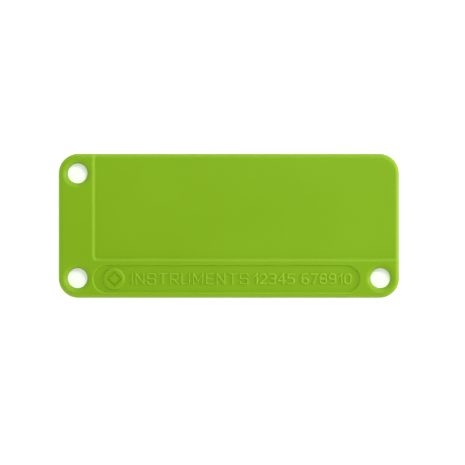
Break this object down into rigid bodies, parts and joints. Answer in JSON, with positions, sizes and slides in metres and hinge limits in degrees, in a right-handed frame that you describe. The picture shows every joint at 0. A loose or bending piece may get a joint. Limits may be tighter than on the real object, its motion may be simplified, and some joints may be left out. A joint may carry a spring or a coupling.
{
  "type": "instrument tray identification tag",
  "caption": "Rectangular moulded plastic identification tag with a sunken label panel, a raised marking strip and lipped tie holes in its corners.",
  "frame": {"origin": "centre of the flat back face", "axes": "+X along the length, +Y towards the long edge that the label panel runs out of, +Z out of the front"},
  "size_m": [0.076, 0.0322, 0.0026],
  "materials": {
    "tag_plastic": "lime-green moulded plastic with a soft satin gloss and a fine moulded grain"
  },
  "bodies": {
    "root": {"tag_plate": "tag_plastic"}
  },
  "joints": []
}
